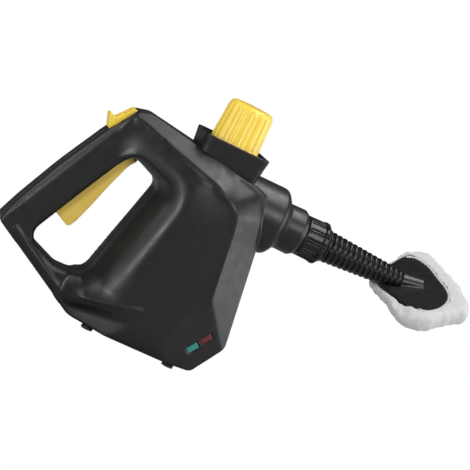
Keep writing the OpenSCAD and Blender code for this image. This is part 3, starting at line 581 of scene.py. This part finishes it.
def half_widths(skin):
    """The grid's origin in metres, its X and Z in mm, and the right skin's half width there."""
    tree = BVHTree.FromObject(skin, bpy.context.evaluated_depsgraph_get())
    low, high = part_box("housing_right")
    x0, z0 = low[0] - GRID_MARGIN, low[2] - GRID_MARGIN
    nx, nz = (int((a - b + GRID_MARGIN) / CELL) for a, b in ((high[0], x0), (high[2], z0)))
    outside, inward = -0.2, Vector((0, 1, 0))
    width = np.zeros((nx, nz))
    for i in range(nx):
        for k in range(nz):
            hit = tree.ray_cast(Vector((x0 + i * CELL, outside, z0 + k * CELL)), inward)[0]
            if hit:
                width[i, k] = -hit.y
    X, Z = np.meshgrid((x0 - SHIFT + np.arange(nx) * CELL) * MM, (z0 + np.arange(nz) * CELL) * MM,
                       indexing="ij")
    return x0, z0, X, Z, width


def rear_flank(X, Z, loop, width):
    """Half width in metres behind the loop, above and below the lower crease."""
    crease = crease_height(np.clip(X, CREASE_X0, CREASE_X1))
    foot = flank(X, crease + 2, line_distance(X, crease + 2, LOOP)) / MM
    low = foot + (width - foot) * step(0, BELOW_CREASE, crease - Z)
    above = flank(X, Z, loop) / MM + LIP / MM * np.exp(-((Z - crease) / LIP_REACH) ** 2)
    recess = np.exp(-((crease - Z) / RECESS_REACH) ** 2) * (1 - step(*RECESS_END, X))
    below = low - RECESS / MM * recess
    return below + (above - below) * step(*CREASE_FADE, Z - crease)


def side_shape(skin):
    """Grids in the XZ plane of the half width that the body should have and that the skin has,
    how much each place follows it, and the grids' origin."""
    x0, z0, X, Z, width = half_widths(skin)
    mask = width > LEAST_WIDTH
    core = mask.copy()
    cells = range(-CORE_CELLS, CORE_CELLS + 1)
    for shift in [(i, k) for i in cells for k in cells]:
        core &= np.roll(mask, shift, (0, 1))
    loop = line_distance(X, Z, LOOP)
    strip = line_distance(X, Z, STRIP, closed=False)
    # the CAD's creases of shoulder and cheek melt away inside the strip
    roof = np.interp(X, *columns(STRIP[:STRIP_BEND + 1]))
    front_x, front_z = columns(STRIP[STRIP_BEND:])
    front = np.interp(-Z, [-z for z in front_z], front_x)
    inside = step(*INSIDE_FADE, roof - Z) * step(*INSIDE_FADE, front - X)
    calm = (inside * step(*CALM_STRIP, strip) * step(*CALM_REAR, X)
            * (1 - step(*CALM_FRONT, X)) * step(*CALM_LOW, Z))
    # the front corner turns round the strip's outer edge
    from_corner = np.hypot(X - CORNER_X, (Z - CORNER_Z) * CORNER_SQUASH)
    corner = 1 - step(*CORNER_REACH, from_corner)
    edge_x, edge_z = columns(EDGE[::-1])
    edge = line_distance(X, Z, EDGE, closed=False)
    edge = np.where(X < np.interp(Z, edge_z, edge_x), edge, -edge)
    cut = soft_least(width, (EDGE_HALF + EDGE_SLOPE * edge) / MM, EDGE_BLEND / MM)
    wide, turned = blur(width, core, SHOULDER_BLUR), blur(cut, core, CORNER_BLUR)
    wanted = width + calm * (wide - width) + (1 - calm) * corner * (turned - width)
    # the flank round the loop
    back = (step(*BACK_REAR, X + BACK_LEAN * step(*BACK_LEAN_Z, Z))
            * (1 - step(*BACK_FRONT, X)) * step(*BACK_TOP, roof - Z))
    underside = np.maximum(UNDERSIDE_Z, UNDERSIDE_Z - (X - UNDERSIDE_X) * UNDERSIDE_RISE)
    back *= step(*BACK_LOW, Z - underside)
    wanted = wanted + back * (rear_flank(X, Z, loop, width) - wanted)
    melt = calm * step(*MELT_LOW, Z) * step(*MELT_LOOP, loop)
    wanted = wanted + melt * (blur(wanted, core, MELT_BLUR) - wanted)
    follow = np.maximum(np.maximum(calm, corner), back)
    trusted = core | ((back > 0.98) & mask)
    return grown(wanted, trusted), grown(width, core), follow, x0, z0


def sample(grid, x0, z0, x, z):
    """Bilinear reading of a grid at places in metres."""
    i = np.clip((x - x0) / CELL, 0, grid.shape[0] - 1.001)
    k = np.clip((z - z0) / CELL, 0, grid.shape[1] - 1.001)
    a, b = i.astype(int), k.astype(int)
    u, v = i - a, k - b
    return ((grid[a, b] * (1 - u) + grid[a + 1, b] * u) * (1 - v)
            + (grid[a, b + 1] * (1 - u) + grid[a + 1, b + 1] * u) * v)


def roll_in(x, z):
    """The share of its half width that the housing keeps near the loop, at places in mm."""
    body = step(-112, -84, x)
    reach = HANDLE_REACH - (HANDLE_REACH - BODY_REACH) * body
    least = HANDLE_KEEP + (BODY_KEEP - HANDLE_KEEP) * body
    s = np.clip(line_distance(x, z, LOOP) / reach, 0, 1)
    return least + (1 - least) * np.sqrt(1 - (1 - s) ** ROLL_POWER)


def front_plug(node, side):
    """A wall over the openings for the boss and the filler collar, flush with the front."""
    bm = bmesh.new()
    for v in NODES[node].data.vertices:
        if v.co.x > SHIFT + FRONT_X and v.co.z > FRONT_Z:
            bm.verts.new(v.co)
    hull = bmesh.ops.convex_hull(bm, input=bm.verts)
    loose = {g for g in hull["geom_interior"] + hull["geom_unused"]
             if isinstance(g, bmesh.types.BMVert)}
    bmesh.ops.delete(bm, geom=list(loose), context="VERTS")
    bm.normal_update()
    # only the faces of the front, roof and outer side stay
    away = 0.8
    cut = [f for f in bm.faces
           if f.normal.x < -away or f.normal.z < -away or f.normal.y * side < -away]
    bmesh.ops.delete(bm, geom=cut, context="FACES")
    obj = new_object("front_plug", bm)
    m = obj.modifiers.new("wall", "SOLIDIFY")
    m.thickness, m.offset = FRONT_WALL, -1
    apply_modifiers(obj)
    return obj


def even_skin(name, node, side):
    """A housing half with its front closed, in even faces."""
    obj, plug = copy_mesh(name, node), front_plug(node, side)
    bm = bmesh.new()
    bm.from_mesh(obj.data)
    bm.from_mesh(plug.data)
    bm.to_mesh(obj.data)
    bm.free()
    bpy.data.objects.remove(plug)
    even_out(obj, SKIN_VOXEL, SKIN_ROUNDS)
    return obj


def shape_skin(obj, side, seats, wanted, now, follow, x0, z0):
    """Moves the skin's outer face to the wanted half width, and its inner face in proportion."""
    n = len(obj.data.vertices)
    co, normal = np.empty(n * 3), np.empty(n * 3)
    obj.data.vertices.foreach_get("co", co)
    obj.data.vertices.foreach_get("normal", normal)
    co, normal = co.reshape(-1, 3), normal.reshape(-1, 3)
    w, h, k = (sample(g, x0, z0, co[:, 0], co[:, 2]) for g in (wanted, now, follow))
    x, z = (co[:, 0] - SHIFT) * MM, co[:, 2] * MM
    for px, pz in seats:
        k *= step(*SEAT_REACH, np.hypot(x - px, z - pz))
    out = co[:, 1] * side
    # the ledge of the lower crease faces up, and is set with the outer face
    ledge = step(*LEDGE_UP, normal[:, 2]) * step(*LEDGE_REAR, x) * (1 - step(*LEDGE_FRONT, x))
    ledge *= 1 - step(*LEDGE_REACH, np.abs(z - crease_height(x)))
    outer = step(*OUTER_FACING, normal[:, 1] * side) * step(*OUTER_DEPTH, out - h)
    outer = np.maximum(outer, ledge) * step(*OUTER_LEAST, out)
    ratio = w / np.maximum(h, 0.002)
    scaled = co[:, 1] * np.where(k > 0, 1 + np.minimum(1, k * 4) * (ratio - 1), 1)
    outer *= np.minimum(1, k * 1.5) * step(*BASE_FADE, z)
    co[:, 1] = scaled + outer * (side * w - scaled)
    co[:, 1] *= roll_in(x, z)
    obj.data.vertices.foreach_set("co", co.ravel())
    group = obj.vertex_groups.new(name="corner")
    weight = np.zeros(n)
    for px, pz, reach, most in ROUNDED:
        near = 1 - step(reach / 2, reach, np.hypot(x - px, z - pz))
        weight = np.maximum(weight, most * near)
    for i in np.nonzero(weight > 0.01)[0]:
        group.add([int(i)], float(weight[i]), "REPLACE")
    add_smooth(obj, "corner", ROUNDED_ROUNDS, "corner")
    add_smooth(obj, "soften", LAST_ROUNDS)
    apply_modifiers(obj)


def housing():
    halves = [("housing_right", "housing_skin_right", -1, LENSES),
              ("housing_left", "housing_skin_left", 1, POSTS)]
    skins = [even_skin(name, node, side) for node, name, side, _ in halves]
    shape = side_shape(skins[0])
    for obj, (node, _, side, seats) in zip(skins, halves):
        shape_skin(obj, side, seats, *shape)
        dress(obj, node, "steamer", "housing_black")


housing()

# ---------------------------------------------------------------- other moulded pieces
NOZZLE = 0.171
RIB_X, RIB_PITCH, RIBS, RIB_R0, RIB_R1 = 134.2, 6.1, 14, 16.4, 10.9
RIB_DEPTH, RIB_HALF, RIB_MIDDLE, RIB_FOOT, RIB_END = 1.95, 2.15, 2.95, 0.25, 5.6
RIB_FULLNESS, RIB_POINTS = 0.75, 12
SEAM_DEPTH, SEAM_HALF, SEAM_LEAST = 0.75, 0.75, 8.2
TUBE_END, TUBE_BORE, TUBE_SIDES = RIB_X + RIBS * RIB_PITCH, 7.75, 192
END_LENGTH, END_DEPTH = 0.4, 2.3
# the tube's stepped root inside the nut, and the bead in front of its first rib
TUBE_ROOT = [(113.5, 7.75), (113.5, 16.9), (116.1, 16.9), (116.1, 15.1), (130.1, 15.1),
             (130.1, 16.6), (130.4, 17.1), (131.2, 17.3), (132.4, 16.8), (133.2, 15.6)]
# the collar's foot reaches a little further down, into the rounded skin
COLLAR_FOOT, COLLAR_FOOT_Z = 0.0022, (0.209, 0.215)


def lathe(name, profile, sides, bend):
    """A closed ring section [(x, r)] in mm turned about the nozzle's axis. bend(x, r, angle)
    gives the radius."""
    verts = []
    for j in range(sides):
        angle = 2 * math.pi * j / sides
        for x, r in profile:
            r = bend(x, r, angle)
            verts.append((x / MM + SHIFT, r * math.cos(angle) / MM,
                          NOZZLE + r * math.sin(angle) / MM))
    return closed_object(name, verts, ring_faces(sides, len(profile), closed=True))


def rib_radius(k):
    return RIB_R0 + (RIB_R1 - RIB_R0) * k / (RIBS - 1)


def mould_seam(x, r, angle):
    """The mould's seam fills the grooves on both sides of the tube."""
    if x < RIB_X or r < SEAM_LEAST:
        return r
    top = rib_radius((x - RIB_X) / RIB_PITCH) - SEAM_DEPTH
    off = min(abs(math.remainder(angle - middle, 2 * math.pi)) for middle in (0, math.pi)) * r
    return max(r, r + (top - r) * max(0.0, 1 - (off / SEAM_HALF) ** 2))


def extension_tube():
    profile = [(TUBE_END, TUBE_BORE)] + TUBE_ROOT
    for k in range(RIBS):
        x, foot = RIB_X + k * RIB_PITCH, rib_radius(k) - RIB_DEPTH
        profile.append((x + RIB_FOOT, foot))
        for i in range(RIB_POINTS + 1):
            a = math.pi * i / RIB_POINTS
            profile.append((x + RIB_MIDDLE - RIB_HALF * math.cos(a),
                            foot + RIB_DEPTH * math.sin(a) ** RIB_FULLNESS))
        profile.append((x + RIB_END, foot))
    profile += [(TUBE_END - END_LENGTH, RIB_R1 - RIB_DEPTH), (TUBE_END, RIB_R1 - END_DEPTH)]
    obj = lathe("extension_tube_skin", profile, TUBE_SIDES, mould_seam)
    dress(obj, "extension_tube", "steamer", "attachment_black")


extension_tube()
moulded("locking_nut", "locking_nut", "attachment_black", 0.0005, 3)
moulded("front_shroud", "steamer", "housing_black", 0.0008, 3)
collar = moulded("filler_collar", "steamer", "housing_black", 0.0007, 3)
for v in collar.data.vertices:
    v.co.z -= COLLAR_FOOT * (1 - float(step(*COLLAR_FOOT_Z, v.co.z)))
moulded("cap_shell", "cap_shell", "yellow_plastic", 0.0006, 14)
moulded("lock_slider", "lock_slider", "yellow_plastic", 0.0004, 4)
moulded("trigger", "trigger", "trigger_plastic", 0.0006, 6)
moulded("head_plate", "tool_head", "attachment_black", 0.0006, 4)
moulded("green_lens", "steamer", "green_lens", 0.0003, 4)
moulded("red_lens", "steamer", "red_lens", 0.0003, 4)

# ---------------------------------------------------------------- the cloth over the head, in mm
HEAD_GAP, HEAD_ROLL, HEAD_TILT = 2, 20, -17
HEAD = (Matrix.Translation((SHIFT + (TUBE_END + HEAD_GAP) / MM, 0, NOZZLE))
        @ Matrix.Rotation(math.radians(HEAD_ROLL), 4, "X")
        @ Matrix.Rotation(math.radians(HEAD_TILT), 4, "Y"))
HEAD_BACK = HEAD.inverted()
HEAD_MIDDLE, HEAD_LENGTH, HEAD_HALF, PLATE_TOP = 11.3, 85.0, 54.0, 1.0
REAR_SHARE, FRONT_SHARE, FRONT_EXTRA = 0.48, 0.52, 3
REAR_POWER, KITE_POWER = 12, 9
PAD_VOXEL, PAD_ROUNDS, PAD_FILL = 0.0022, 3, 0.55
CLOTH_FRAMES, CLOTH_PRESSURE, SWELL_LIMIT = 20, 4, 0.002
# the pad is free to swell outside the rim, and partly on its underside, below HELD_Z
HELD_Z, SKIRT_FREE, UNDER_FREE, UNDER_LEAST = -6, (0.5, 6.0), (-14, 4), 0.3
# its relief: gathers a turn and their heights, then sizes and heights of tufts and soft lumps
SKIRT_OUT, SKIRT_Z = (-7, 3), (-19, -12)
GATHERS, GATHER_HEIGHT, GATHER_WANDER, WANDER_DEGREES = 17, 0.3, 3, 24
FINE_GATHERS, FINE_HEIGHT = 37, 0.22
TUFTS, LUMP_SIZE, LUMP_HEIGHT = ((2.3, 0.34), (1.1, 0.22)), 11.0, 0.3
HEM_IN, HEM_IN_MORE, HEM_IN_AT, HEM_IN_POWER = 3.4, 9, 34, 3.5
HEM_FROM, HEM_SPAN, HEM_STEPS, HEM_SIDES = -88, 178, 760, 10
HEM_OUT, HEM_LIFT, HEM_WIDE, HEM_FLAT = 0.5, 0.75, 1.25, 0.85
HEM_RADIUS, STITCH_DEPTH, STITCH_PITCH, STITCH_POWER, HEM_TAPER = 0.6, 0.5, 2.7, 0.7, 12


def cosd(t):
    return math.cos(math.radians(t))


def sind(t):
    return math.sin(math.radians(t))


def rim(t):
    """Distance from the plate's middle to its kite-shaped rim, at t degrees from its tip."""
    b, a = HEAD_LENGTH * REAR_SHARE, HEAD_LENGTH * FRONT_SHARE
    rear = math.degrees(math.atan2(b, -HEAD_HALF))
    d = b * HEAD_HALF / math.hypot(b, HEAD_HALF)
    sides = sum(max(0, cosd(t - s)) ** REAR_POWER for s in (rear, -rear))
    back = sides ** (1 / REAR_POWER) / d
    front = math.hypot(cosd(t) / a, sind(t) / (HEAD_HALF + FRONT_EXTRA))
    return (back ** KITE_POWER + front ** KITE_POWER) ** (-1 / KITE_POWER)


def on_head(place):
    """Degrees from the tip, mm outside the rim, and the point itself in the head's own frame."""
    q = HEAD_BACK @ place * MM
    t = math.degrees(math.atan2(q.y, q.x - HEAD_MIDDLE))
    return t, math.hypot(q.y, q.x - HEAD_MIDDLE) - rim(t), q


def hem_in(t):
    """How far inside the rim the hem lies."""
    return HEM_IN + HEM_IN_MORE * max(0, cosd(t - HEM_IN_AT)) ** HEM_IN_POWER


def swell(obj):
    """Blender's cloth blows the pad up a little; no point moves further than the limit."""
    rest = [v.co.copy() for v in obj.data.vertices]
    cloth = obj.modifiers.new("swell", "CLOTH")
    st = cloth.settings
    st.quality = 5
    st.mass = 0.3
    st.tension_stiffness = st.compression_stiffness = 12
    st.shear_stiffness = 5
    st.bending_stiffness = 0.4
    st.use_pressure = True
    st.uniform_pressure_force = CLOTH_PRESSURE
    st.vertex_group_mass = "held"
    st.effector_weights.gravity = 0
    cloth.collision_settings.use_collision = False
    SCENE.frame_start, SCENE.frame_end = 1, CLOTH_FRAMES
    cloth.point_cache.frame_start, cloth.point_cache.frame_end = 1, CLOTH_FRAMES
    for f in range(1, CLOTH_FRAMES + 1):
        SCENE.frame_set(f)
    apply_modifiers(obj)
    SCENE.frame_set(1)
    for v, a in zip(obj.data.vertices, rest):
        d = v.co - a
        if d.length > SWELL_LIMIT:
            v.co = a + d * (SWELL_LIMIT / d.length)


def head_cloth():
    obj = copy_mesh("head_cloth_pad", "head_cloth")
    even_out(obj, PAD_VOXEL, PAD_ROUNDS)
    # what lies against the plate is held; the skirt and the underside are free to swell
    held = obj.vertex_groups.new(name="held")
    for v in obj.data.vertices:
        _, out, q = on_head(v.co)
        if q.z > HELD_Z:
            free = float(step(*SKIRT_FREE, out))
        else:
            free = float(step(*UNDER_FREE, out)) * (1 - UNDER_LEAST) + UNDER_LEAST
        held.add([v.index], 1 - free, "REPLACE")
    swell(obj)
    m = obj.modifiers.new("finer", "SUBSURF")
    m.levels = m.render_levels = 1
    apply_modifiers(obj)
    # gathers that run out from the hem, and the tufts of the terry
    obj.data.update()
    normals = [v.normal.copy() for v in obj.data.vertices]
    for v, n in zip(obj.data.vertices, normals):
        t, out, q = on_head(v.co)
        angle = math.radians(t)
        skirt = float(step(*SKIRT_OUT, out)) * float(step(*SKIRT_Z, q.z))
        wander = GATHER_WANDER * noise.noise(Vector((t / WANDER_DEGREES, 0, 7)))
        gather = skirt * (GATHER_HEIGHT * math.sin(angle * GATHERS + wander)
                          + FINE_HEIGHT * math.sin(angle * FINE_GATHERS + 2))
        tuft = sum(height * noise.noise(q / size) for size, height in TUFTS)
        lump = LUMP_HEIGHT * noise.noise(q / LUMP_SIZE) * skirt
        v.co += n * ((gather + tuft * (0.5 + 0.5 * skirt) + lump) / MM)
    dress(obj, "head_cloth", "tool_head", "white_cloth")


def hem_roll():
    """The overlocked edge of the cloth where it grips the plate's two front sides."""
    path = []
    for k in range(HEM_STEPS + 1):
        t = HEM_FROM + HEM_SPAN * k / HEM_STEPS
        r = rim(t) + HEM_OUT - hem_in(t)
        path.append(HEAD @ Vector(((HEAD_MIDDLE + r * cosd(t)) / MM, r * sind(t) / MM,
                                   (PLATE_TOP + HEM_LIFT) / MM)))
    up = HEAD.to_3x3() @ Vector((0, 0, 1))
    verts, length = [], 0.0
    for k, p in enumerate(path):
        if k:
            length += (p - path[k - 1]).length * MM
        along = (path[min(HEM_STEPS, k + 1)] - path[max(0, k - 1)]).normalized()
        side = along.cross(up).normalized()
        wander = 0.5 * noise.noise(Vector((length / 9, 0, 0)))
        stitch = abs(math.sin(math.pi * length / STITCH_PITCH + wander))
        ends = min(1.0, k / HEM_TAPER, (HEM_STEPS - k) / HEM_TAPER)
        r = (HEM_RADIUS + STITCH_DEPTH * stitch ** STITCH_POWER) * (0.35 + 0.65 * ends)
        for j in range(HEM_SIDES):
            c = 2 * math.pi * j / HEM_SIDES
            verts.append(p + (side * math.cos(c) * r * HEM_WIDE
                              + up * math.sin(c) * r * HEM_FLAT) / MM)
    # the same winding as the two end faces
    faces = [face[::-1] for face in ring_faces(HEM_STEPS + 1, HEM_SIDES, closed=False)]
    last = HEM_STEPS * HEM_SIDES
    faces += [tuple(range(HEM_SIDES)), tuple(range(last + HEM_SIDES - 1, last - 1, -1))]
    dress(closed_object("head_cloth_hem", verts, faces), None, "tool_head", "white_cloth")


head_cloth()
hem_roll()
